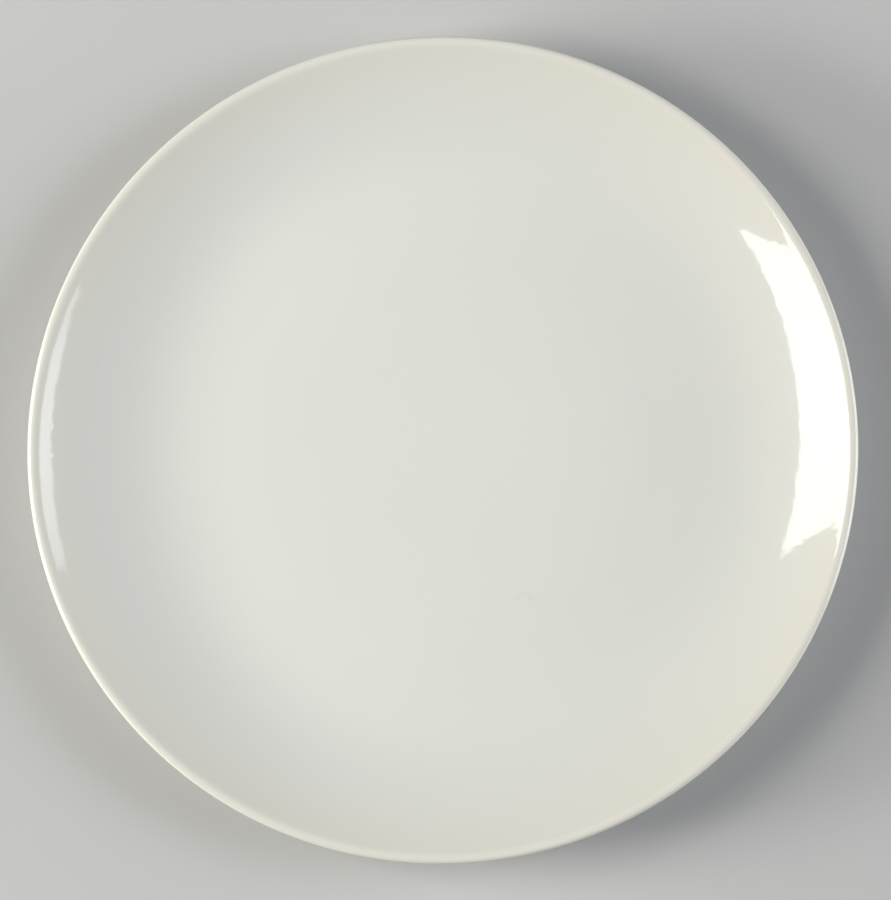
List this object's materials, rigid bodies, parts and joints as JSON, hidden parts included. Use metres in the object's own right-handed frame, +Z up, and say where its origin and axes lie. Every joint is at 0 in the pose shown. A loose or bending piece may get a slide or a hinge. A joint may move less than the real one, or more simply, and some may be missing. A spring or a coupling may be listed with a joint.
{
  "type": "salad plate",
  "caption": "Round coupe salad plate of white porcelain: a flat well, an upswept flank and a rounded rim under glossy glaze, standing on a bare foot ring.",
  "frame": {"origin": "centre of the foot ring's standing edge, on the table", "axes": "+Z up along the plate's axis of revolution, out of the dish; X and Y lie in the table and are alike, because the plate is round"},
  "size_m": [0.2, 0.2, 0.018],
  "materials": {
    "bare_porcelain": "fired unglazed porcelain, fine-grained and matt; it shows only at the foot ring's standing edge",
    "white_glaze": "smooth, glossy, slightly warm white glaze"
  },
  "bodies": {
    "root": {"porcelain_body": "bare_porcelain", "glaze_coat": "white_glaze", "foot_recess_glaze": "white_glaze"}
  },
  "joints": []
}
